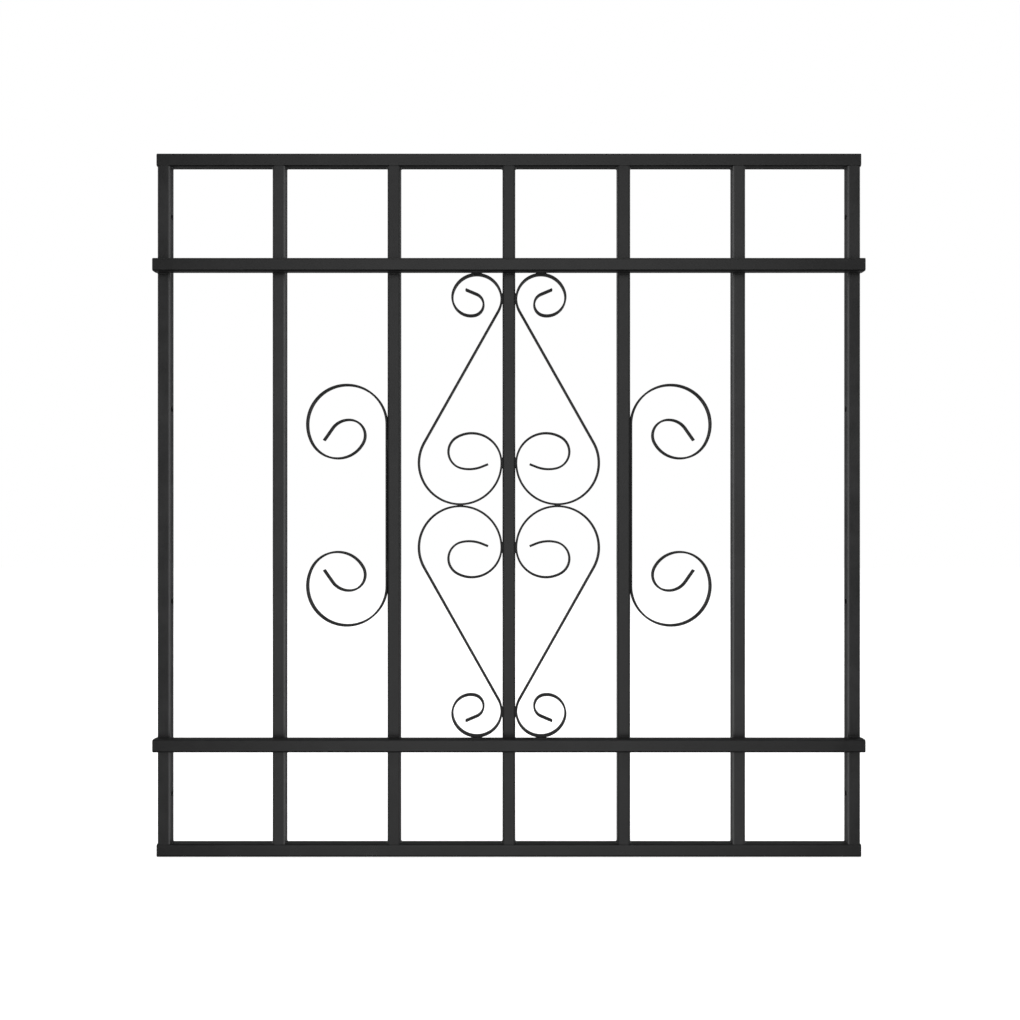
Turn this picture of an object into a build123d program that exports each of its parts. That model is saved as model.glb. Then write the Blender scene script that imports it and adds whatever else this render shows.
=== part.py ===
from build123d import *
from math import asin, atan2, cos, degrees, hypot, sin
import os

# Window security bar: a guard panel of square steel tube with flat bar scrolls, welded up
# and powder coated. Two rails and two stiles make the frame, five inner bars stand in it,
# and two cross rails lie on the front of the uprights.
#
# +X is to the right and +Z is up, seen from outside the window. The front faces -Y.
# The origin is the centre of the panel's flat back, on the middle bar.
# side is -1 for left and +1 for right. level is +1 for upper and -1 for lower.

# ---- Panel, mm ----
frame_width = 874.0  # over the two stiles, and the cut length of every rail
frame_height = 875.0  # over the top and bottom rails
cross_rail_offset = 296.0  # a cross rail's centre line, from the panel's middle line
inner_bar_count = 5

# ---- Square tube ----
tube_size = 16.0
tube_wall = 1.2
tube_corner_r = 2.5  # outside corner

# ---- Flat bar of the scrolls ----
strap_depth = 12.0
strap_thickness = 2.5

# ---- Centre scrolls: a lobe at the middle line and a smaller curl under the cross rail ----
lobe_bay_gap = 21.5  # from the lobe to the next bar out
lobe_tail = 8.5  # straight free end
curl_r = 30.8  # centre line
curl_tuck = 1.0  # how far the curl's crown reaches behind the cross rail
curl_tail = 15.0  # straight free end

# ---- Side scrolls: a straight spine on a bar with a curl at each end ----
side_bay_gap = 25.7  # from the curls to the next bar out
spine_half = 100.5  # from the middle line to where the spine starts to curl
side_tail = 18.4  # straight free end

# A scroll is bent in steps: (radius as a share of its first radius, turn in degrees).
# The first turn of a centre scroll starts where its slanting shank ends, so the shank's
# lean comes on top of it.
lobe_steps = [(1.0, 180), (0.72, 120), (0.41, 137), (0.82, 35)]
curl_steps = [(1.0, 162), (0.75, 120), (0.45, 145)]
side_steps = [(1.0, 207), (0.73, 126), (0.395, 112), (0.51, 60)]

# ---- End plugs, moulded, one in each open rail end ----
plug_flange = 1.0
plug_depth = 12.0  # into the tube
plug_wall = 1.3
plug_rib = 0.8
plug_rib_count = 2
plug_slack = 0.6  # from the plug's body to the bore, each side
rib_clearance = 0.05  # from a rib to the bore, each side

# ---- Fixing screw holes, side to side through both stiles ----
screw_hole_r = 3.5
screw_hole_count = 4  # in each stile, evenly spaced
screw_end_distance = 61.5  # from a stile's end to the centre of its nearest hole

# ---- Worked out from the sizes above ----
upright_length = frame_height - 2 * tube_size
bar_pitch = (frame_width - tube_size) / (inner_bar_count + 1)
bay_width = bar_pitch - tube_size
tube_bore = tube_size - 2 * tube_wall
tube_bore_corner_r = tube_corner_r - tube_wall
frame_y = -tube_size / 2
cross_rail_y = -tube_size * 3 / 2
edge_rail_z = (frame_height - tube_size) / 2
screw_pitch = (upright_length - 2 * screw_end_distance) / (screw_hole_count - 1)
strap_y = -tube_size + strap_depth / 2  # flush with the front of the uprights
strap_offset = (tube_size + strap_thickness) / 2  # bar's centre to a strap on its side
lobe_r = (bay_width - strap_thickness - lobe_bay_gap) / 2
side_r = (bay_width - strap_thickness - side_bay_gap) / 2

upright_plane = Plane.XY.offset(-upright_length / 2)
rail_plane = Plane.YZ.offset(-frame_width / 2)
strap_plane = Plane.XZ.offset(-strap_y)


def tube_section():
    """The tube's wall, drawn at each location of the sketch that calls this."""
    RectangleRounded(tube_size, tube_size, tube_corner_r)
    RectangleRounded(tube_bore, tube_bore, tube_bore_corner_r, mode=Mode.SUBTRACT)


def make_bar(bar_x):
    """An inner upright, cut to stand between the top and bottom rails."""
    with BuildPart() as bar:
        with BuildSketch(upright_plane):
            with Locations((bar_x, frame_y)):
                tube_section()
        extrude(amount=upright_length)
    return bar.part


def make_stile(side):
    """An outer upright, with a row of screw holes through both of its side walls."""
    stile_x = side * (frame_width - tube_size) / 2
    with BuildPart() as stile:
        with BuildSketch(upright_plane):
            with Locations((stile_x, frame_y)):
                tube_section()
        extrude(amount=upright_length)
        with BuildSketch(Plane.YZ.offset(stile_x)):
            with Locations((frame_y, 0)):
                with GridLocations(0, screw_pitch, 1, screw_hole_count):
                    Circle(screw_hole_r)
        extrude(amount=tube_size, both=True, mode=Mode.SUBTRACT)
    return stile.part


def make_rail(rail_y, rail_z):
    """A level tube, as long as the frame is wide and open at both ends."""
    with BuildPart() as rail:
        with BuildSketch(rail_plane):
            with Locations((rail_y, rail_z)):
                tube_section()
        extrude(amount=frame_width)
    return rail.part


def make_plug(side, rail_y, rail_z):
    """A moulded cap with a hollow ribbed body, for one end of the rail at rail_y, rail_z."""
    body = tube_bore - 2 * plug_slack
    body_corner_r = tube_bore_corner_r / 2
    rib = tube_bore - 2 * rib_clearance
    rib_pitch = plug_depth / (plug_rib_count + 1)
    end_x = side * frame_width / 2
    with BuildPart() as plug:
        with BuildSketch(Plane.YZ.offset(end_x)):
            with Locations((rail_y, rail_z)):
                RectangleRounded(tube_size, tube_size, tube_corner_r)
        extrude(amount=side * plug_flange)
        with BuildSketch(Plane.YZ.offset(end_x)):
            with Locations((rail_y, rail_z)):
                RectangleRounded(body, body, body_corner_r)
        extrude(amount=-side * plug_depth)
        for number in range(plug_rib_count):
            rib_x = end_x - side * (number + 1) * rib_pitch
            with BuildSketch(Plane.YZ.offset(rib_x)):
                with Locations((rail_y, rail_z)):
                    RectangleRounded(rib, rib, tube_bore_corner_r)
            extrude(amount=-side * plug_rib)
        with BuildSketch(Plane.YZ.offset(end_x)):
            with Locations((rail_y, rail_z)):
                Rectangle(body - 2 * plug_wall, body - 2 * plug_wall)
        extrude(amount=-side * plug_depth, mode=Mode.SUBTRACT)
    return plug.part


def lay_steps(start, heading, steps, first_r, first_turn, tail, hand):
    """Lay a scroll's tangent arcs from start, then its straight tail.

    first_turn is added to the first step. hand is +1 to turn left and -1 to turn right.
    """
    for share, turn in steps:
        arc = JernArc(start, heading, share * first_r, hand * (turn + first_turn))
        start = arc @ 1
        heading = arc % 1
        first_turn = 0
    Line(start, start + heading * tail)


def strap_end_plane(path):
    """The plane of a flat bar's cut end: x is the bar's depth, y its thickness."""
    return Plane(origin=path @ 0, x_dir=(0, 1, 0), z_dir=path % 0)


def make_centre_scroll(side, level):
    """A flat bar bent to an S beside the middle bar.

    Its lobe touches the middle bar and the lobe across the middle line. Its curl touches
    the middle bar and reaches a little behind the cross rail. The shank is the straight
    run that is tangent to both.
    """
    lobe_x = strap_offset + lobe_r
    lobe_z = strap_thickness / 2 + lobe_r
    curl_x = strap_offset + curl_r
    crown_z = cross_rail_offset - tube_size / 2 + curl_tuck
    curl_z = crown_z - strap_thickness / 2 - curl_r
    span = hypot(lobe_x - curl_x, curl_z - lobe_z)
    lean = atan2(lobe_x - curl_x, curl_z - lobe_z) + asin((lobe_r + curl_r) / span)
    shank_low = (lobe_x + lobe_r * cos(lean), lobe_z + lobe_r * sin(lean))
    shank_high = (curl_x - curl_r * cos(lean), curl_z - curl_r * sin(lean))
    lean_degrees = degrees(lean)
    hand = -side * level
    with BuildPart() as scroll:
        with BuildLine(strap_plane) as path:
            shank = Line(
                (side * shank_low[0], level * shank_low[1]),
                (side * shank_high[0], level * shank_high[1]),
            )
            lay_steps(shank @ 0, -(shank % 0), lobe_steps, lobe_r, lean_degrees, lobe_tail, hand)
            lay_steps(shank @ 1, shank % 1, curl_steps, curl_r, lean_degrees, curl_tail, hand)
        with BuildSketch(strap_end_plane(path.wire())):
            Rectangle(strap_depth, strap_thickness)
        sweep(path=path.wire())
    return scroll.part


def make_side_scroll(side):
    """A flat bar bent to a C, its straight spine flat on the outer side of a bar."""
    spine_x = side * (bar_pitch + strap_offset)
    with BuildPart() as scroll:
        with BuildLine(strap_plane) as path:
            spine = Line((spine_x, -spine_half), (spine_x, spine_half))
            lay_steps(spine @ 1, spine % 1, side_steps, side_r, 0, side_tail, -side)
            lay_steps(spine @ 0, -(spine % 0), side_steps, side_r, 0, side_tail, side)
        with BuildSketch(strap_end_plane(path.wire())):
            Rectangle(strap_depth, strap_thickness)
        sweep(path=path.wire())
    return scroll.part


sides = {"left": -1, "right": 1}
levels = {"upper": 1, "lower": -1}
rails = {
    "top_rail": (frame_y, edge_rail_z),
    "bottom_rail": (frame_y, -edge_rail_z),
    "upper_cross_rail": (cross_rail_y, cross_rail_offset),
    "lower_cross_rail": (cross_rail_y, -cross_rail_offset),
}

pieces = {}
for rail_name, (rail_y, rail_z) in rails.items():
    pieces[rail_name] = make_rail(rail_y, rail_z)
    for side_name, side in sides.items():
        pieces[f"{rail_name}_plug_{side_name}"] = make_plug(side, rail_y, rail_z)

for bar in range(inner_bar_count):
    pieces[f"bar_{bar + 1}"] = make_bar((bar - (inner_bar_count - 1) / 2) * bar_pitch)

for side_name, side in sides.items():
    pieces[f"{side_name}_stile"] = make_stile(side)
    pieces[f"side_scroll_{side_name}"] = make_side_scroll(side)
    for level_name, level in levels.items():
        scroll_name = f"centre_scroll_{level_name}_{side_name}"
        pieces[scroll_name] = make_centre_scroll(side, level)

os.makedirs("parts", exist_ok=True)
for name, piece in pieces.items():
    piece.label = name
    export_step(piece, f"parts/{name}.step")
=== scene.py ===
from math import asin, atan2, ceil, cos, pi, radians, sin

import bmesh
import bpy
from bpy.props import (
    FloatProperty,
    FloatVectorProperty,
    IntProperty,
    PointerProperty,
)
from mathutils import Matrix, Vector


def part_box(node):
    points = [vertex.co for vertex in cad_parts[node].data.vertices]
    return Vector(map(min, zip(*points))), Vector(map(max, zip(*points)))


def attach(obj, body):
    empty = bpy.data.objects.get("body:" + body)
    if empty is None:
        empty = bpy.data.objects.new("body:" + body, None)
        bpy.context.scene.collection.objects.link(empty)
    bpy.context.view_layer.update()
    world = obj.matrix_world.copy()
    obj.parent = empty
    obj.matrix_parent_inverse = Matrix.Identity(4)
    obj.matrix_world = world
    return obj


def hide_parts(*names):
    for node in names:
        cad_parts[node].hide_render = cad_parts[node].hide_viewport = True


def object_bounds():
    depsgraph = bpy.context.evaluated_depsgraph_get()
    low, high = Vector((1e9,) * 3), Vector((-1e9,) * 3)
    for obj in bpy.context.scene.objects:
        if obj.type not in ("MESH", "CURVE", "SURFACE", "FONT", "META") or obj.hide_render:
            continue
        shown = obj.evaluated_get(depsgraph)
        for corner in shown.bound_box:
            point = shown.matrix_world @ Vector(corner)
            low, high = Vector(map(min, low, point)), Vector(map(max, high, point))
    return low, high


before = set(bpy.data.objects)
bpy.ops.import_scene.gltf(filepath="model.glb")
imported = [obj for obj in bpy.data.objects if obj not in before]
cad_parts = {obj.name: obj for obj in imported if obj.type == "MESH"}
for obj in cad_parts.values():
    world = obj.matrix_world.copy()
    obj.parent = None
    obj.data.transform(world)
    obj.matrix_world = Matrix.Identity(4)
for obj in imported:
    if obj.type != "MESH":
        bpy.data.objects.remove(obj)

bl_info = {
    "name": "Window Security Bar",
    "version": (1, 0, 0),
    "blender": (4, 5, 0),
    "location": "3D View > Sidebar > Security Bar",
    "description": "Dresses a welded window guard: scrolls, weld beads, end plugs and powder coat",
    "category": "Add Mesh",
}

# +X is to the right and +Z is up, seen from outside the window. The front faces -Y. Lengths
# are in metres. side is -1 for left and +1 for right. level is +1 for upper and -1 for lower.

CAD_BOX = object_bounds()
BODY = "root"
SIDES = {"left": -1, "right": 1}
LEVELS = {"upper": 1, "lower": -1}
EDGE_RAILS = ("top_rail", "bottom_rail")
CROSS_RAILS = ("upper_cross_rail", "lower_cross_rail")
INNER_BARS = tuple(f"bar_{number + 1}" for number in range(5))
UPRIGHTS = ("left_stile", *INNER_BARS, "right_stile")
OUTER_UPRIGHTS = {-1: ("left_stile", "bar_1"), 1: ("bar_5", "right_stile")}

# A scroll is bent in steps: (radius as a share of its first radius, turn in degrees)
LOBE_STEPS = ((1.0, 180), (0.72, 120), (0.41, 137), (0.82, 35))
CURL_STEPS = ((1.0, 162), (0.75, 120), (0.45, 145))
SIDE_STEPS = ((1.0, 207), (0.73, 126), (0.395, 112), (0.51, 60))

MIDDLE_LOW, MIDDLE_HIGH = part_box("bar_3")
TUBE_SIZE = MIDDLE_HIGH.x - MIDDLE_LOW.x
BAR_PITCH = (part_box("bar_4")[0] - MIDDLE_LOW).x
CROSS_RAIL_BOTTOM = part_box("upper_cross_rail")[0].z  # the lower one is its mirror image

# ---- Surface grain ----
FLECK_SCALE = 3.7  # flecks to one bump of the peel
FLECK_HEIGHT = 0.3  # share of the peel's height
FLECK_SHADE = 0.4  # share of the drift's strength
MOTTLE_LOW = 0.5  # where the light colour starts to show
MOTTLE_MEAN = 0.7  # the drift's mean, and FLECK_SHADE times the flecks' mean
SHADE_GAIN = 1.6
THIN_COAT = 0.8  # the peel's size and depth on flat bar, as shares of those on the tubes
WELD_PEEL_SIZE = 0.55  # the same for the peel on a weld
WELD_PEEL_DEPTH = 1.5

# ---- Weld beads ----
SWELL_SCALE = 220.0  # swells to the metre
BEAD_SIDES = 14
POINTS_PER_RIPPLE = 4
END_LOSS = 0.75  # share of its radius that a bead loses at its very ends
RUN_TAPER = 8.0  # the higher the taper, the later a bead thins towards its ends
TACK_TAPER = 2.5
GROOVE_SINK = 1.2  # from the face to a groove bead's middle, in radii: it ends up flush
GROOVE_RISE = 0.65  # from the upright's end to a groove bead's middle, in radii
LAP_INSET = 1 / 3  # from an upright's side to a lap bead's end, in radii
LAP_STANDOFF = 1 / 4  # from an upright's front to a lap bead's middle, in radii
TWIN_SHARE = 0.7  # radius of the tack between twin lobes, as a share of the other tacks'
SPINE_TACK_SHARE = 0.75  # height of a spine's tacks, as a share of half the spine

# ---- Modelling ----
CUT_ANGLE = radians(50)  # a sheared end's edges are sharper than this
SHARP_ANGLE = radians(35)  # a plug's edges are sharper than this
QUARTER_STEPS = 6  # facets round a quarter of a plug's corner
RIM_STEPS = 4  # facets over a plug's rim
DISH_FLAT = (0.3, 0.62)  # the dish's flat bottom, as shares of half the flange
DISH_EDGE = 0.76  # where the dish ends, as a share of half the flange
DISH_EDGE_CORNER = 0.8  # and its corner, as a share of the flange's

# ---- Stage ----
# Each soft box faces the middle of the panel: name, place, width, height, glow
SOFT_BOXES = (
    ("Front soft box", (0, -2.4, 0), 2.0, 3.4, 0.72),
    ("Front wall", (0, -3.4, 0), 4.0, 4.6, 0.22),
    ("Overhead soft box", (0, -0.6, 2.4), 2.4, 1.6, 0.8),
    ("Back wall", (0, 3.0, 0), 3.4, 4.6, 0.06),
)
# These stand on both sides, and the places are those on the right
SIDE_SOFT_BOXES = (
    ("Side soft box", (2.6, -0.1, 0), 2.2, 3.8, 0.7),
    ("Corner soft box", (2.3, -1.6, 0), 1.4, 3.8, 0.28),
    ("Rear soft box", (2.5, 2.0, 0), 2.0, 3.8, 1.3),
)
# Lights only the two outer uprights across the panel from it
EDGE_SOFT_BOX = ("Edge soft box", (1.1, -1.0, 0), 1.6, 2.4, 2.0)
FLOOR_ROUGHNESS = 0.9
FLOOR_LIGHT_ANGLE = radians(60)
SENSOR_WIDTH = 36  # mm
CAMERA_SHIFT = (0.0011, -0.0047)  # as shares of the sensor's width


# ---- Settings ----


def size_property(name, description, default):
    """A length in metres, shown in the scene's own unit."""
    return FloatProperty(
        name=name, description=description, default=default, min=0, precision=4, unit="LENGTH"
    )


def share_property(name, description, default):
    """A share from 0 to 1."""
    return FloatProperty(
        name=name, description=description, default=default, min=0, max=1, subtype="FACTOR"
    )


def glow_property(name, description, default):
    """The strength of a light, with no upper limit."""
    return FloatProperty(name=name, description=description, default=default, min=0)


def colour_property(name, description, default):
    """A colour without alpha."""
    return FloatVectorProperty(
        name=name, description=description, default=default, min=0, max=1, size=3, subtype="COLOR"
    )


class FlatBarSettings(bpy.types.PropertyGroup):
    """The flat bar that the scrolls are bent from, and how each scroll is bent."""

    thickness: size_property("Thickness", "Thickness of the flat bar", 0.0025)
    edge_radius: size_property("Edge radius", "Rounding of the flat bar's rolled edges", 0.0011)
    edge_steps: IntProperty(
        name="Edge steps", description="Facets round each rolled edge", default=4, min=1, max=12
    )
    cut_bevel: size_property("Cut bevel", "Rounding of the sheared ends", 0.0003)
    turn_step: FloatProperty(
        name="Turn step", description="Turn from one point of a bend to the next",
        default=radians(4), min=radians(1), subtype="ANGLE",
    )
    lobe_bay_gap: size_property("Lobe gap", "From a centre lobe to the next bar out", 0.0215)
    lobe_tail: size_property("Lobe tail", "Straight free end of a lobe", 0.0085)
    curl_radius: size_property("Curl radius", "Centre line of a centre scroll's curl", 0.0308)
    curl_tuck: size_property("Curl tuck", "How far a curl reaches behind the cross rail", 0.001)
    curl_tail: size_property("Curl tail", "Straight free end of a curl", 0.015)
    side_bay_gap: size_property("Side gap", "From a side scroll to the next bar out", 0.0257)
    spine_half: size_property("Half spine", "From the middle line to a side scroll's bend", 0.1005)
    side_tail: size_property("Side tail", "Straight free end of a side scroll", 0.0184)


class WeldSettings(bpy.types.PropertyGroup):
    """The weld beads, all under the coat."""

    groove_leg: size_property("Groove bead", "Radius of the bead in a butt joint's groove", 0.0017)
    corner_leg: size_property("Corner bead", "Radius of the bead at an upright's sides", 0.0015)
    lap_leg: size_property("Lap bead", "Radius of the bead along a cross rail", 0.0013)
    tack_leg: size_property("Tack bead", "Radius of the bead on a scroll", 0.0011)
    tack_length: size_property("Tack length", "Length of a scroll's tack weld", 0.014)
    ripple_pitch: size_property("Ripple pitch", "From one ripple of a bead to the next", 0.0018)
    ripple_height: share_property("Ripple height", "Ripple, as a share of the bead's radius", 0.07)
    unevenness: share_property("Unevenness", "Slow swell, as a share of the bead's radius", 0.22)
    seed: IntProperty(name="Seed", description="Which uneven beads are drawn", default=7)


class PlugSettings(bpy.types.PropertyGroup):
    """The moulded plugs in the rails' open ends."""

    rim: size_property("Rim radius", "Rounding of the flange's rim", 0.0004)
    dish: size_property("Dish", "Depth of the shallow dish in the face", 0.00025)
    corner_radius: size_property("Corner radius", "Corner of the flange, as on the tube", 0.0025)
    wall: size_property("Wall", "Wall of the hollow body", 0.0013)
    slack: size_property("Slack", "From the body to the bore, each side", 0.0006)
    tube_wall: size_property("Tube wall", "Wall of the tube that the plug fits", 0.0012)
    rib_clearance: size_property("Rib clearance", "From a rib to the bore, each side", 0.00005)
    rib: size_property("Rib", "Width of a rib", 0.0008)
    rib_count: IntProperty(name="Ribs", description="Ribs on the body", default=2, min=0)
    flange: size_property("Flange", "Thickness of the flange", 0.001)


class FinishSettings(bpy.types.PropertyGroup):
    """The powder coat and the plugs' plastic."""

    coat: colour_property("Coat", "Black powder coat", (0.0095, 0.0095, 0.0098))
    coat_light: colour_property("Coat light", "The coat where it is thin", (0.028, 0.028, 0.0285))
    coat_roughness: share_property("Coat roughness", "Satin of the coat", 0.36)
    coat_spread: share_property("Coat spread", "How much the satin varies", 0.35)
    weld_roughness: share_property("Weld roughness", "How much rougher the coat is on a weld", 0.12)
    peel_size: size_property("Peel size", "Pitch of the coat's orange peel", 0.0013)
    peel_depth: size_property("Peel depth", "Depth of the orange peel", 0.00007)
    plastic: colour_property("Plastic", "Black moulded plastic", (0.016, 0.016, 0.0165))
    plastic_light: colour_property("Plastic light", "Its flow marks", (0.026, 0.026, 0.027))
    plastic_roughness: share_property("Plastic roughness", "Matt of the plastic", 0.55)
    plastic_spread: share_property("Plastic spread", "How much the matt varies", 0.12)


class StageSettings(bpy.types.PropertyGroup):
    """The camera, the lights and the floor."""

    camera_distance: size_property("Camera distance", "From the panel's back to the camera", 1.328)
    lens: FloatProperty(
        name="Lens", description="Focal length", default=37.27, min=1, unit="CAMERA"
    )
    floor_size: size_property("Floor size", "Side of the square floor", 12.0)
    floor_colour: colour_property("Floor", "Pale floor", (0.86, 0.86, 0.86))
    floor_glow: glow_property("Floor glow", "Light that the floor gives off itself", 0.62)
    floor_light: glow_property("Floor light", "Light from above that falls on the floor alone", 1.6)
    room_glow: glow_property("Room glow", "Light of the dim room, away from the soft boxes", 0.05)


SETTINGS = {
    "guard_flat_bar": FlatBarSettings,
    "guard_welds": WeldSettings,
    "guard_plugs": PlugSettings,
    "guard_finish": FinishSettings,
    "guard_stage": StageSettings,
}


# ---- Node helpers ----


def group_socket(tree, name, kind, default=None, is_output=False):
    """Add one named socket to a node group."""
    socket = tree.interface.new_socket(
        name=name, in_out="OUTPUT" if is_output else "INPUT", socket_type=kind
    )
    if default is not None:
        socket.default_value = default
    return socket


def add_node(tree, kind, **values):
    """Add a node and set its own properties."""
    node = tree.nodes.new(kind)
    for name, value in values.items():
        setattr(node, name, value)
    return node


def join(tree, *pairs):
    """Take pairs of an output and an input and link them, or set the input to a plain value."""
    for source, target in pairs:
        if isinstance(source, bpy.types.NodeSocket):
            tree.links.new(source, target)
        else:
            target.default_value = source


def arithmetic(tree, operation, first, second=None, third=None):
    """A Math node on sockets or numbers; returns its output."""
    node = add_node(tree, "ShaderNodeMath", operation=operation)
    for value, target in zip((first, second, third), node.inputs):
        if value is not None:
            join(tree, (value, target))
    return node.outputs[0]


def mix_colours(tree, factor, first, second):
    """A colour Mix node on sockets; returns its output."""
    node = add_node(tree, "ShaderNodeMix", data_type="RGBA")
    # The node also has sockets for numbers and vectors, so its colours are found by place
    factor_in, first_in, second_in = (node.inputs[number] for number in (0, 6, 7))
    join(tree, (factor, factor_in), (first, first_in), (second, second_in))
    return node.outputs[2]


# ---- Finishes ----


def surface_grain_group():
    """Shared by every finish: a bumpy skin with slow drifts in colour and gloss."""
    name = "Surface grain"
    if name in bpy.data.node_groups:
        return bpy.data.node_groups[name]
    tree = bpy.data.node_groups.new(name, "ShaderNodeTree")
    group_socket(tree, "Place", "NodeSocketVector")
    group_socket(tree, "Colour", "NodeSocketColor", (0.01, 0.01, 0.01, 1))
    group_socket(tree, "Light Colour", "NodeSocketColor", (0.02, 0.02, 0.02, 1))
    group_socket(tree, "Peel Size", "NodeSocketFloat", 0.0016)
    group_socket(tree, "Drift Size", "NodeSocketFloat", 0.03)
    group_socket(tree, "Roughness", "NodeSocketFloat", 0.4)
    group_socket(tree, "Roughness Spread", "NodeSocketFloat", 0.1)
    group_socket(tree, "Colour", "NodeSocketColor", is_output=True)
    group_socket(tree, "Roughness", "NodeSocketFloat", is_output=True)
    group_socket(tree, "Height", "NodeSocketFloat", is_output=True)
    given = add_node(tree, "NodeGroupInput")
    result = add_node(tree, "NodeGroupOutput")

    peel_scale = arithmetic(tree, "DIVIDE", 1.0, given.outputs["Peel Size"])
    drift_scale = arithmetic(tree, "DIVIDE", 1.0, given.outputs["Drift Size"])
    peel = add_node(tree, "ShaderNodeTexNoise")
    fleck = add_node(tree, "ShaderNodeTexNoise")
    drift = add_node(tree, "ShaderNodeTexNoise")
    join(
        tree,
        (given.outputs["Place"], peel.inputs["Vector"]),
        (peel_scale, peel.inputs["Scale"]),
        (1.0, peel.inputs["Detail"]),
        (given.outputs["Place"], fleck.inputs["Vector"]),
        (arithmetic(tree, "MULTIPLY", peel_scale, FLECK_SCALE), fleck.inputs["Scale"]),
        (0.0, fleck.inputs["Detail"]),
        (given.outputs["Place"], drift.inputs["Vector"]),
        (drift_scale, drift.inputs["Scale"]),
        (3.0, drift.inputs["Detail"]),
    )
    height = arithmetic(tree, "MULTIPLY_ADD", fleck.outputs[0], FLECK_HEIGHT, peel.outputs[0])
    mottle = arithmetic(tree, "MULTIPLY_ADD", fleck.outputs[0], FLECK_SHADE, drift.outputs[0])
    above_low = arithmetic(tree, "SUBTRACT", mottle, MOTTLE_LOW)
    shade = arithmetic(tree, "MULTIPLY", above_low, SHADE_GAIN)
    gloss = arithmetic(tree, "SUBTRACT", mottle, MOTTLE_MEAN)
    roughness = arithmetic(
        tree, "MULTIPLY_ADD", gloss, given.outputs["Roughness Spread"], given.outputs["Roughness"]
    )
    colour = mix_colours(tree, shade, given.outputs["Colour"], given.outputs["Light Colour"])
    join(
        tree,
        (colour, result.inputs["Colour"]),
        (roughness, result.inputs["Roughness"]),
        (height, result.inputs["Height"]),
    )
    return tree


def finish_material(
    name, colour, light_colour, roughness, spread, peel_size, peel_depth, drift_size
):
    """A satin skin on metal or plastic, on the piece's own coordinates."""
    material = bpy.data.materials.get(name)
    if material:
        return material
    material = bpy.data.materials.new(name)
    material.use_nodes = True
    tree = material.node_tree
    shader = next(node for node in tree.nodes if node.type == "BSDF_PRINCIPLED")
    place = add_node(tree, "ShaderNodeTexCoord")
    grain = add_node(tree, "ShaderNodeGroup", node_tree=surface_grain_group())
    bump = add_node(tree, "ShaderNodeBump")
    join(
        tree,
        (place.outputs["Object"], grain.inputs["Place"]),
        ((*colour, 1), grain.inputs["Colour"]),
        ((*light_colour, 1), grain.inputs["Light Colour"]),
        (peel_size, grain.inputs["Peel Size"]),
        (drift_size, grain.inputs["Drift Size"]),
        (roughness, grain.inputs["Roughness"]),
        (spread, grain.inputs["Roughness Spread"]),
        (grain.outputs["Colour"], shader.inputs["Base Color"]),
        (grain.outputs["Roughness"], shader.inputs["Roughness"]),
        (grain.outputs["Height"], bump.inputs["Height"]),
        (peel_depth, bump.inputs["Distance"]),
        (bump.outputs["Normal"], shader.inputs["Normal"]),
        (1.5, shader.inputs["IOR"]),
    )
    return material


def coat_material(finish):
    """Satin black powder coat, as it lies on the tubes."""
    return finish_material(
        "Powder coat on tube", finish.coat, finish.coat_light,
        roughness=finish.coat_roughness,
        spread=finish.coat_spread,
        peel_size=finish.peel_size,
        peel_depth=finish.peel_depth,
        drift_size=0.035,
    )


def scroll_material(finish):
    """The same coat on flat bar, which takes it a little thinner and finer."""
    return finish_material(
        "Powder coat on flat bar", finish.coat, finish.coat_light,
        roughness=finish.coat_roughness,
        spread=finish.coat_spread,
        peel_size=finish.peel_size * THIN_COAT,
        peel_depth=finish.peel_depth * THIN_COAT,
        drift_size=0.018,
    )


def weld_material(finish):
    """The same coat over a weld, where it lies rougher."""
    return finish_material(
        "Powder coat on weld", finish.coat, finish.coat_light,
        roughness=finish.coat_roughness + finish.weld_roughness,
        spread=finish.coat_spread,
        peel_size=finish.peel_size * WELD_PEEL_SIZE,
        peel_depth=finish.peel_depth * WELD_PEEL_DEPTH,
        drift_size=0.004,
    )


def plastic_material(finish):
    """Black polyethylene with a spark-eroded mould texture."""
    return finish_material(
        "Moulded plug plastic", finish.plastic, finish.plastic_light,
        roughness=finish.plastic_roughness,
        spread=finish.plastic_spread,
        peel_size=0.00035,
        peel_depth=0.00002,
        drift_size=0.006,
    )


# ---- Geometry Nodes ----


def geometry_tree(name, inputs):
    """A Geometry Nodes tree with a Geometry input and output and the named inputs."""
    tree = bpy.data.node_groups.new(name, "GeometryNodeTree")
    group_socket(tree, "Geometry", "NodeSocketGeometry")
    for title, kind, default in inputs:
        group_socket(tree, title, kind, default)
    group_socket(tree, "Geometry", "NodeSocketGeometry", is_output=True)
    return tree, add_node(tree, "NodeGroupInput"), add_node(tree, "NodeGroupOutput")


def finish_tree(tree, mesh, given, result):
    """End a tree: smooth shading, real geometry, the given material."""
    smooth = add_node(tree, "GeometryNodeSetShadeSmooth")
    realize = add_node(tree, "GeometryNodeRealizeInstances")
    paint = add_node(tree, "GeometryNodeSetMaterial")
    join(
        tree,
        (mesh, smooth.inputs["Geometry"]),
        (smooth.outputs[0], realize.inputs["Geometry"]),
        (realize.outputs[0], paint.inputs["Geometry"]),
        (given.outputs["Material"], paint.inputs["Material"]),
        (paint.outputs[0], result.inputs["Geometry"]),
    )


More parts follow.
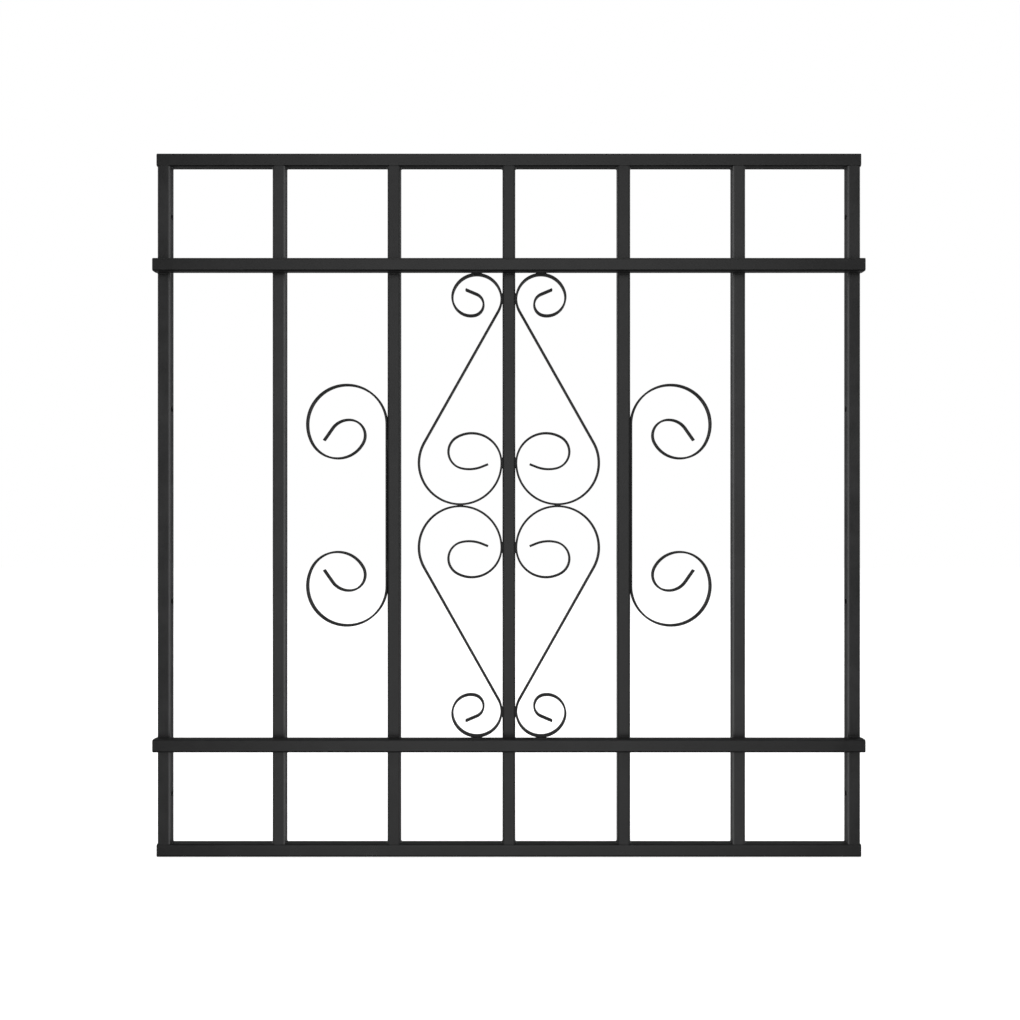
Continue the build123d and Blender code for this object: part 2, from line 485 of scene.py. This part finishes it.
def flat_bar_tree():
    """Rolls a rectangular bar with rounded edges along the host's line of edges."""
    name = "Flat bar on a route"
    if name in bpy.data.node_groups:
        return bpy.data.node_groups[name]
    tree, given, result = geometry_tree(name, (
        ("Depth", "NodeSocketFloat", 0.012),
        ("Thickness", "NodeSocketFloat", 0.0025),
        ("Edge Radius", "NodeSocketFloat", 0.0011),
        ("Edge Steps", "NodeSocketInt", 4),
        ("Material", "NodeSocketMaterial", None),
    ))
    route = add_node(tree, "GeometryNodeMeshToCurve")
    upright = add_node(tree, "GeometryNodeSetCurveNormal", mode="FREE")
    section = add_node(tree, "GeometryNodeCurvePrimitiveQuadrilateral")
    rounding = add_node(tree, "GeometryNodeFilletCurve", mode="POLY")
    roll = add_node(tree, "GeometryNodeCurveToMesh")
    join(
        tree,
        (given.outputs["Geometry"], route.inputs["Mesh"]),
        (route.outputs[0], upright.inputs["Curve"]),
        ((0.0, 1.0, 0.0), upright.inputs["Normal"]),
        (given.outputs["Depth"], section.inputs["Width"]),
        (given.outputs["Thickness"], section.inputs["Height"]),
        (section.outputs[0], rounding.inputs["Curve"]),
        (given.outputs["Edge Radius"], rounding.inputs["Radius"]),
        (given.outputs["Edge Steps"], rounding.inputs["Count"]),
        (upright.outputs[0], roll.inputs["Curve"]),
        (rounding.outputs[0], roll.inputs["Profile Curve"]),
        (True, roll.inputs["Fill Caps"]),
    )
    finish_tree(tree, roll.outputs[0], given, result)
    return tree


def weld_bead_tree():
    """Lays a rippled bead along each of the host's edges. Attribute leg is its radius."""
    name = "Weld bead on a seam"
    if name in bpy.data.node_groups:
        return bpy.data.node_groups[name]
    tree, given, result = geometry_tree(name, (
        ("Ripple Pitch", "NodeSocketFloat", 0.0018),
        ("Ripple Height", "NodeSocketFloat", 0.07),
        ("Unevenness", "NodeSocketFloat", 0.2),
        ("End Taper", "NodeSocketFloat", 8.0),
        ("Seed", "NodeSocketInt", 7),
        ("Material", "NodeSocketMaterial", None),
    ))
    seam = add_node(tree, "GeometryNodeMeshToCurve")
    points = add_node(tree, "GeometryNodeResampleCurve", mode="LENGTH")
    leg = add_node(tree, "GeometryNodeInputNamedAttribute", data_type="FLOAT")
    along = add_node(tree, "GeometryNodeSplineParameter")
    where = add_node(tree, "GeometryNodeInputPosition")
    swell = add_node(tree, "ShaderNodeTexNoise", noise_dimensions="4D")
    ring = add_node(tree, "GeometryNodeCurvePrimitiveCircle")
    roll = add_node(tree, "GeometryNodeCurveToMesh")
    join(
        tree,
        ("leg", leg.inputs["Name"]),
        (where.outputs[0], swell.inputs["Vector"]),
        (given.outputs["Seed"], swell.inputs["W"]),
        (SWELL_SCALE, swell.inputs["Scale"]),
        (1.0, swell.inputs["Detail"]),
        (BEAD_SIDES, ring.inputs["Resolution"]),
        (1.0, ring.inputs["Radius"]),
    )
    phase = arithmetic(tree, "DIVIDE", along.outputs["Length"], given.outputs["Ripple Pitch"])
    wave = arithmetic(tree, "SINE", arithmetic(tree, "MULTIPLY", phase, 2 * pi))
    ripple = arithmetic(tree, "MULTIPLY_ADD", wave, given.outputs["Ripple Height"], 1.0)
    drift = arithmetic(tree, "SUBTRACT", swell.outputs[0], 0.5)
    uneven = arithmetic(tree, "MULTIPLY_ADD", drift, given.outputs["Unevenness"], 1.0)
    from_middle = arithmetic(tree, "MULTIPLY_ADD", along.outputs["Factor"], 2.0, -1.0)
    distance = arithmetic(tree, "ABSOLUTE", from_middle)
    fall = arithmetic(tree, "POWER", distance, given.outputs["End Taper"])
    taper = arithmetic(tree, "MULTIPLY_ADD", fall, -END_LOSS, 1.0)
    bumps = arithmetic(tree, "MULTIPLY", ripple, uneven)
    radius = arithmetic(tree, "MULTIPLY", leg.outputs[0], bumps)
    step = arithmetic(tree, "DIVIDE", given.outputs["Ripple Pitch"], POINTS_PER_RIPPLE)
    join(
        tree,
        (given.outputs["Geometry"], seam.inputs["Mesh"]),
        (seam.outputs[0], points.inputs["Curve"]),
        (step, points.inputs["Length"]),
        (points.outputs[0], roll.inputs["Curve"]),
        (ring.outputs[0], roll.inputs["Profile Curve"]),
        (arithmetic(tree, "MULTIPLY", radius, taper), roll.inputs["Scale"]),
        (True, roll.inputs["Fill Caps"]),
    )
    finish_tree(tree, roll.outputs[0], given, result)
    return tree


def host_mesh(name, points, edges, attributes=None):
    """A mesh object of points and edges for a tree to build on."""
    mesh = bpy.data.meshes.new(name)
    mesh.from_pydata([tuple(point) for point in points], edges, [])
    for title, values in (attributes or {}).items():
        layer = mesh.attributes.new(title, "FLOAT", "POINT")
        layer.data.foreach_set("value", values)
    host = bpy.data.objects.new(name, mesh)
    bpy.context.scene.collection.objects.link(host)
    return host


def grow(host, tree, name, **inputs):
    """Run a tree on its host and return the result as a plain mesh object; the host goes."""
    modifier = host.modifiers.new(tree.name, "NODES")
    modifier.node_group = tree
    given = {title.replace("_", " ").title(): value for title, value in inputs.items()}
    for item in tree.interface.items_tree:
        if item.in_out == "INPUT" and item.name in given:
            modifier[item.identifier] = given.pop(item.name)
    if given:
        raise ValueError(f"{tree.name} has no input named {sorted(given)}")
    depsgraph = bpy.context.evaluated_depsgraph_get()
    mesh = bpy.data.meshes.new_from_object(host.evaluated_get(depsgraph))
    bpy.data.objects.remove(host)
    if not mesh.polygons:
        raise ValueError(f"{name} came out empty")
    mesh.name = name
    return place_mesh(name, mesh)


def place_mesh(name, mesh):
    """Show a finished mesh as an object at the origin."""
    piece = bpy.data.objects.new(name, mesh)
    bpy.context.scene.collection.objects.link(piece)
    return piece


def soften(piece, bevel):
    """Round the sharp cut edges a little and let the flat faces lead the shading."""
    if bevel:
        rounding = piece.modifiers.new("Cut edges", "BEVEL")
        rounding.width = bevel
        rounding.segments = 2
        rounding.limit_method = "ANGLE"
        rounding.angle_limit = CUT_ANGLE
    shading = piece.modifiers.new("Flat faces lead", "WEIGHTED_NORMAL")
    shading.keep_sharp = True


# ---- Scrolls ----


def turned(vector, angle):
    """A 2D vector turned to the left."""
    return Matrix.Rotation(angle, 2) @ vector


def bent_end(start, heading, steps, first_radius, first_turn, tail, hand, turn_step):
    """The route of a scroll's tangent bends from start, then its straight tail.

    first_turn is added to the first step. hand is +1 to turn left and -1 to turn right.
    """
    route = [start]
    for share, degrees in steps:
        angle = radians(degrees) + first_turn
        first_turn = 0
        centre = route[-1] + hand * share * first_radius * turned(heading, pi / 2)
        spoke = route[-1] - centre
        count = ceil(angle / turn_step)
        for number in range(count):
            route.append(centre + turned(spoke, hand * angle * (number + 1) / count))
        heading = turned(heading, hand * angle)
    return [*route, route[-1] + tail * heading]


def centre_scroll_circles(bar):
    """The lobe's centre, its radius and the curl's centre, for the upper right centre scroll.

    The lobe touches the middle bar and the lobe below it. The curl touches the middle bar
    and reaches a little behind the cross rail. Radii are those of the bar's centre line.
    """
    offset = (TUBE_SIZE + bar.thickness) / 2
    lobe_radius = (BAR_PITCH - TUBE_SIZE - bar.thickness - bar.lobe_bay_gap) / 2
    lobe = Vector((offset + lobe_radius, bar.thickness / 2 + lobe_radius))
    crown = CROSS_RAIL_BOTTOM + bar.curl_tuck
    curl = Vector((offset + bar.curl_radius, crown - bar.thickness / 2 - bar.curl_radius))
    return lobe, lobe_radius, curl


def roll_flat_bar(context, name, route):
    """Roll a flat bar along a route of points right and up, and show it for the CAD one."""
    bar = context.scene.guard_flat_bar
    low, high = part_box(name)
    middle = (low.y + high.y) / 2
    points = [(point.x, middle, point.y) for point in route]
    edges = [(number, number + 1) for number in range(len(points) - 1)]
    host = host_mesh(name + "_route", points, edges)
    piece = grow(
        host, flat_bar_tree(), name + "_bar",
        depth=high.y - low.y,
        thickness=bar.thickness,
        edge_radius=bar.edge_radius,
        edge_steps=bar.edge_steps,
        material=scroll_material(context.scene.guard_finish),
    )
    soften(piece, bar.cut_bevel)
    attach(piece, BODY)
    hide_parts(name)


class GUARD_OT_centre_scrolls(bpy.types.Operator):
    """Bend the four S scrolls that stand round the middle bar"""

    bl_idname = "guard.centre_scrolls"
    bl_label = "Bend the centre scrolls"

    def execute(self, context):
        bar = context.scene.guard_flat_bar
        lobe, lobe_radius, curl = centre_scroll_circles(bar)
        lean = atan2(lobe.x - curl.x, curl.y - lobe.y)
        lean += asin((lobe_radius + bar.curl_radius) / (curl - lobe).length)
        spoke = Vector((cos(lean), sin(lean)))
        shank = (lobe + lobe_radius * spoke, curl - bar.curl_radius * spoke)
        for side_name, side in SIDES.items():
            for level_name, level in LEVELS.items():
                flip = Vector((side, level))
                low, high = (point * flip for point in shank)
                heading = (high - low).normalized()
                hand = -side * level
                lobe_end = bent_end(
                    low, -heading, LOBE_STEPS, lobe_radius, lean, bar.lobe_tail, hand,
                    bar.turn_step,
                )
                curl_end = bent_end(
                    high, heading, CURL_STEPS, bar.curl_radius, lean, bar.curl_tail, hand,
                    bar.turn_step,
                )
                route = lobe_end[::-1] + curl_end
                roll_flat_bar(context, f"centre_scroll_{level_name}_{side_name}", route)
        return {"FINISHED"}


class GUARD_OT_side_scrolls(bpy.types.Operator):
    """Bend the two C scrolls whose spines stand on the second and fourth bars"""

    bl_idname = "guard.side_scrolls"
    bl_label = "Bend the side scrolls"

    def execute(self, context):
        bar = context.scene.guard_flat_bar
        radius = (BAR_PITCH - TUBE_SIZE - bar.thickness - bar.side_bay_gap) / 2
        spine_x = BAR_PITCH + (TUBE_SIZE + bar.thickness) / 2
        for side_name, side in SIDES.items():
            upper, lower = (
                bent_end(
                    Vector((side * spine_x, level * bar.spine_half)), Vector((0, level)),
                    SIDE_STEPS, radius, 0, bar.side_tail, -side * level, bar.turn_step,
                )
                for level in LEVELS.values()
            )
            roll_flat_bar(context, f"side_scroll_{side_name}", lower[::-1] + upper)
        return {"FINISHED"}


# ---- Weld beads ----


def lay_beads(context, name, seams, end_taper):
    """Make one piece of all the seams, each given as (start, end, radius)."""
    welds = context.scene.guard_welds
    points = [point for *ends, leg in seams for point in ends]
    legs = [leg for *ends, leg in seams for point in ends]
    edges = [(2 * number, 2 * number + 1) for number in range(len(seams))]
    piece = grow(
        host_mesh(name + "_seams", points, edges, {"leg": legs}), weld_bead_tree(), name,
        ripple_pitch=welds.ripple_pitch,
        ripple_height=welds.ripple_height,
        unevenness=welds.unevenness,
        end_taper=end_taper,
        seed=welds.seed,
        material=weld_material(context.scene.guard_finish),
    )
    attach(piece, BODY)


class GUARD_OT_frame_welds(bpy.types.Operator):
    """Weld the uprights between the top and bottom rails"""

    bl_idname = "guard.frame_welds"
    bl_label = "Weld the frame"

    def execute(self, context):
        welds = context.scene.guard_welds
        groove, corner = welds.groove_leg, welds.corner_leg
        seams = []
        for name in UPRIGHTS:
            low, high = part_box(name)
            for level, end_z in zip(LEVELS.values(), (high.z, low.z)):
                for face_y, inward in ((low.y, 1), (high.y, -1)):
                    seam_y = face_y + inward * groove * GROOVE_SINK
                    seam_z = end_z + level * groove * GROOVE_RISE
                    seams.append((
                        Vector((low.x + groove / 2, seam_y, seam_z)),
                        Vector((high.x - groove / 2, seam_y, seam_z)),
                        groove,
                    ))
                for side_x, outward in ((low.x, -1), (high.x, 1)):
                    if abs(side_x + outward * TUBE_SIZE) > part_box("top_rail")[1].x:
                        continue  # the stile's outer face is flush with the rails' ends
                    seams.append((
                        Vector((side_x, low.y + 2 * corner, end_z)),
                        Vector((side_x, high.y - 2 * corner, end_z)),
                        corner,
                    ))
        lay_beads(context, "frame_welds", seams, RUN_TAPER)
        return {"FINISHED"}


class GUARD_OT_cross_rail_welds(bpy.types.Operator):
    """Weld the two cross rails on the front of the uprights"""

    bl_idname = "guard.cross_rail_welds"
    bl_label = "Weld the cross rails"

    def execute(self, context):
        leg = context.scene.guard_welds.lap_leg
        seams = []
        for rail in CROSS_RAILS:
            rail_low, rail_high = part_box(rail)
            for edge_z in (rail_low.z, rail_high.z):
                for name in UPRIGHTS:
                    low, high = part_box(name)
                    seam_y = low.y - leg * LAP_STANDOFF
                    seams.append((
                        Vector((low.x + leg * LAP_INSET, seam_y, edge_z)),
                        Vector((high.x - leg * LAP_INSET, seam_y, edge_z)),
                        leg,
                    ))
        lay_beads(context, "cross_rail_welds", seams, RUN_TAPER)
        return {"FINISHED"}


class GUARD_OT_scroll_welds(bpy.types.Operator):
    """Tack the scrolls to the bars, the cross rails and each other"""

    bl_idname = "guard.scroll_welds"
    bl_label = "Tack the scrolls"

    def execute(self, context):
        bar = context.scene.guard_flat_bar
        welds = context.scene.guard_welds
        leg = welds.tack_leg
        half = Vector((0, 0, welds.tack_length / 2))
        lobe, _, curl = centre_scroll_circles(bar)
        spine_x = BAR_PITCH + TUBE_SIZE / 2
        front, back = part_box("side_scroll_left")
        seams = []
        for side in SIDES.values():
            for level in LEVELS.values():
                for seam_x, seam_z in (
                    (TUBE_SIZE / 2, lobe.y),
                    (TUBE_SIZE / 2, curl.y),
                    (spine_x, bar.spine_half * SPINE_TACK_SHARE),
                ):
                    middle = Vector((side * seam_x, front.y + leg, level * seam_z))
                    seams.append((middle - half, middle + half, leg))
                crown = Vector((side * curl.x, front.y, level * CROSS_RAIL_BOTTOM))
                seams.append((crown - half.zxy, crown + half.zxy, leg))
            for face_y in (front.y + leg / 2, back.y - leg / 2):
                twins = Vector((side * lobe.x, face_y, 0))
                seams.append((twins - half.zxy / 2, twins + half.zxy / 2, leg * TWIN_SHARE))
        lay_beads(context, "scroll_welds", seams, TACK_TAPER)
        return {"FINISHED"}


# ---- Tubes and plugs ----


class GUARD_OT_coat_tubes(bpy.types.Operator):
    """Give the rails, stiles and bars their powder coat"""

    bl_idname = "guard.coat_tubes"
    bl_label = "Coat the tubes"

    def execute(self, context):
        coat = coat_material(context.scene.guard_finish)
        for name in (*EDGE_RAILS, *CROSS_RAILS, *UPRIGHTS):
            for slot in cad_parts[name].material_slots:
                slot.material = coat
        return {"FINISHED"}


def rounded_square(half, corner_radius):
    """Points of a rounded square about the origin, counter-clockwise."""
    centre = half - corner_radius
    points = []
    for quarter in range(4):
        middle = turned(Vector((centre, centre)), quarter * pi / 2)
        for number in range(QUARTER_STEPS + 1):
            angle = (quarter + number / QUARTER_STEPS) * pi / 2
            points.append(middle + corner_radius * Vector((cos(angle), sin(angle))))
    return points


def plug_rings(plugs, size, depth):
    """The plug's outline from the middle of its face to the bottom of its hollow body.

    Each ring is (distance out of the tube's end, half its width, its corner radius).
    """
    half = size / 2
    rim = plugs.rim
    corner = plugs.corner_radius
    bore_half = half - plugs.tube_wall
    bore_corner = corner - plugs.tube_wall
    body_half = bore_half - plugs.slack
    body_corner = bore_corner / 2
    rib_half = bore_half - plugs.rib_clearance
    rings = [(plugs.flange - plugs.dish, half * share, corner / 2) for share in DISH_FLAT]
    rings.append((plugs.flange, half * DISH_EDGE, corner * DISH_EDGE_CORNER))
    for number in range(RIM_STEPS + 1):
        angle = number / RIM_STEPS * pi / 2
        shrink = rim * (1 - sin(angle))
        rings.append((plugs.flange - rim * (1 - cos(angle)), half - shrink, corner - shrink))
    rings.append((0, half, corner))
    rings.append((0, body_half, body_corner))
    rib_pitch = depth / (plugs.rib_count + 1)
    for number in range(plugs.rib_count):
        start = -(number + 1) * rib_pitch
        end = start - plugs.rib
        rings.append((start, body_half, body_corner))
        rings.append((start, rib_half, bore_corner))
        rings.append((end, rib_half, bore_corner))
        rings.append((end, body_half, body_corner))
    cavity_half = body_half - plugs.wall
    rings.append((-depth, body_half, body_corner))
    rings.append((-depth, cavity_half, body_corner / 2))
    rings.append((0, cavity_half, body_corner / 2))
    return rings


def skin_rings(name, rings):
    """A closed mesh over rings that have the same count of points, with its faces outwards."""
    body = bmesh.new()
    loops = [[body.verts.new(point) for point in ring] for ring in rings]
    for outer, inner in zip(loops, loops[1:]):
        for number, vert in enumerate(outer):
            body.faces.new((outer[number - 1], inner[number - 1], inner[number], vert))
    body.faces.new(loops[0])
    body.faces.new(loops[-1][::-1])
    bmesh.ops.recalc_face_normals(body, faces=body.faces)
    mesh = bpy.data.meshes.new(name)
    body.to_mesh(mesh)
    body.free()
    return mesh


class GUARD_OT_plugs(bpy.types.Operator):
    """Mould the eight plugs in the open ends of the rails"""

    bl_idname = "guard.plugs"
    bl_label = "Mould the end plugs"

    def execute(self, context):
        plugs = context.scene.guard_plugs
        plastic = plastic_material(context.scene.guard_finish)
        for rail in (*EDGE_RAILS, *CROSS_RAILS):
            for side_name, side in SIDES.items():
                node = f"{rail}_plug_{side_name}"
                low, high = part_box(node)
                middle = (low + high) / 2
                end_x = (high.x if side > 0 else low.x) - side * plugs.flange
                depth = high.x - low.x - plugs.flange
                mesh = skin_rings(node + "_moulding", [
                    [
                        (end_x + side * out, middle.y + side * point.x, middle.z + point.y)
                        for point in rounded_square(half, corner)
                    ]
                    for out, half, corner in plug_rings(plugs, high.z - low.z, depth)
                ])
                mesh.materials.append(plastic)
                mesh.shade_smooth()
                mesh.set_sharp_from_angle(angle=SHARP_ANGLE)
                piece = place_mesh(node + "_moulding", mesh)
                soften(piece, 0)
                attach(piece, BODY)
                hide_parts(node)
        return {"FINISHED"}


# ---- Stage ----


def shine_only_on(light, pieces):
    """Keep a light's beam on the given pieces, as flags and grids do in a studio."""
    lit = bpy.data.collections.new(light.name + " lit pieces")
    for piece in pieces:
        lit.objects.link(piece)
    light.light_linking.receiver_collection = lit


def soft_box(name, place, width, height, glow):
    """A rectangular light on the panel with the radiance glow, out of the camera's sight."""
    light = bpy.data.lights.new(name, "AREA")
    light.shape = "RECTANGLE"
    light.size = width
    light.size_y = height
    light.energy = glow * pi * width * height
    box = bpy.data.objects.new(name, light)
    box.location = place
    box.rotation_euler = (-box.location).to_track_quat("-Z", "Y").to_euler()
    bpy.context.scene.collection.objects.link(box)
    box.visible_camera = False
    return box


def side_soft_box(side, name, place, width, height, glow):
    """A soft box on one side, its place given for the right."""
    return soft_box(name, (side * place[0], *place[1:]), width, height, glow)


def white_room(glow):
    """White where the camera looks past the panel, dim for everything else."""
    world = bpy.data.worlds.new("Studio")
    world.use_nodes = True
    tree = world.node_tree
    tree.nodes.clear()
    seen = add_node(tree, "ShaderNodeBackground")
    dim = add_node(tree, "ShaderNodeBackground")
    ray = add_node(tree, "ShaderNodeLightPath")
    choose = add_node(tree, "ShaderNodeMixShader")
    result = add_node(tree, "ShaderNodeOutputWorld")
    join(
        tree,
        ((1, 1, 1, 1), seen.inputs["Color"]),
        (1.0, seen.inputs["Strength"]),
        ((1, 1, 1, 1), dim.inputs["Color"]),
        (glow, dim.inputs["Strength"]),
        (ray.outputs["Is Camera Ray"], choose.inputs[0]),
        (dim.outputs[0], choose.inputs[1]),
        (seen.outputs[0], choose.inputs[2]),
        (choose.outputs[0], result.inputs["Surface"]),
    )
    bpy.context.scene.world = world


def lay_floor(stage):
    """A plain pale floor under the panel, which neither tints nor shades the panel."""
    half = stage.floor_size / 2
    corners = ((-half, -half), (half, -half), (half, half), (-half, half))
    mesh = bpy.data.meshes.new("floor")
    mesh.from_pydata([(*corner, CAD_BOX[0].z) for corner in corners], [], [(0, 1, 2, 3)])
    material = bpy.data.materials.new("Pale floor")
    material.use_nodes = True
    shader = next(node for node in material.node_tree.nodes if node.type == "BSDF_PRINCIPLED")
    join(
        material.node_tree,
        ((*stage.floor_colour, 1), shader.inputs["Base Color"]),
        (FLOOR_ROUGHNESS, shader.inputs["Roughness"]),
        ((1, 1, 1, 1), shader.inputs["Emission Color"]),
        (stage.floor_glow, shader.inputs["Emission Strength"]),
    )
    mesh.materials.append(material)
    floor = place_mesh("floor", mesh)
    floor.visible_glossy = False
    floor.visible_diffuse = False
    floor.visible_shadow = False
    sky = bpy.data.lights.new("Floor light", "SUN")
    sky.energy = stage.floor_light
    sky.angle = FLOOR_LIGHT_ANGLE
    above = bpy.data.objects.new("Floor light", sky)
    bpy.context.scene.collection.objects.link(above)
    shine_only_on(above, [floor])


class GUARD_OT_stage(bpy.types.Operator):
    """Set up the floor, the soft boxes, the white room and the camera"""

    bl_idname = "guard.stage"
    bl_label = "Set the stage"

    def execute(self, context):
        stage = context.scene.guard_stage
        lay_floor(stage)
        white_room(stage.room_glow)
        for box in SOFT_BOXES:
            soft_box(*box)
        for side in SIDES.values():
            for box in SIDE_SOFT_BOXES:
                side_soft_box(side, *box)
            edge = side_soft_box(side, *EDGE_SOFT_BOX)
            shine_only_on(edge, [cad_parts[name] for name in OUTER_UPRIGHTS[-side]])
        camera = bpy.data.objects.new("Camera", bpy.data.cameras.new("Camera"))
        camera.location = (0, -stage.camera_distance, 0)
        camera.rotation_euler = (pi / 2, 0, 0)
        camera.data.lens = stage.lens
        camera.data.sensor_width = SENSOR_WIDTH
        camera.data.shift_x, camera.data.shift_y = CAMERA_SHIFT
        context.scene.collection.objects.link(camera)
        context.scene.camera = camera
        context.scene.view_settings.view_transform = "Standard"
        return {"FINISHED"}


OPERATORS = (
    GUARD_OT_coat_tubes,
    GUARD_OT_plugs,
    GUARD_OT_centre_scrolls,
    GUARD_OT_side_scrolls,
    GUARD_OT_frame_welds,
    GUARD_OT_cross_rail_welds,
    GUARD_OT_scroll_welds,
    GUARD_OT_stage,
)


class GUARD_PT_panel(bpy.types.Panel):
    """Lists the guard's sizes and the steps that dress it"""

    bl_idname = "GUARD_PT_panel"
    bl_label = "Window Security Bar"
    bl_space_type = "VIEW_3D"
    bl_region_type = "UI"
    bl_category = "Security Bar"

    def draw(self, context):
        for title, kind in SETTINGS.items():
            box = self.layout.box()
            box.label(text=kind.__name__.replace("Settings", ""))
            for name in kind.__annotations__:
                box.prop(getattr(context.scene, title), name)
        for operator in OPERATORS:
            self.layout.operator(operator.bl_idname)


CLASSES = (*SETTINGS.values(), *OPERATORS, GUARD_PT_panel)


def register():
    """Register the settings, the operators and the panel."""
    for kind in CLASSES:
        bpy.utils.register_class(kind)
    for title, kind in SETTINGS.items():
        setattr(bpy.types.Scene, title, PointerProperty(type=kind))


def unregister():
    """Take everything out again."""
    for title in SETTINGS:
        delattr(bpy.types.Scene, title)
    for kind in reversed(CLASSES):
        bpy.utils.unregister_class(kind)


def main():
    """Build everything in order."""
    register()
    for operator in OPERATORS:
        group, step = operator.bl_idname.split(".")
        getattr(getattr(bpy.ops, group), step)()


if __name__ == "__main__":
    main()
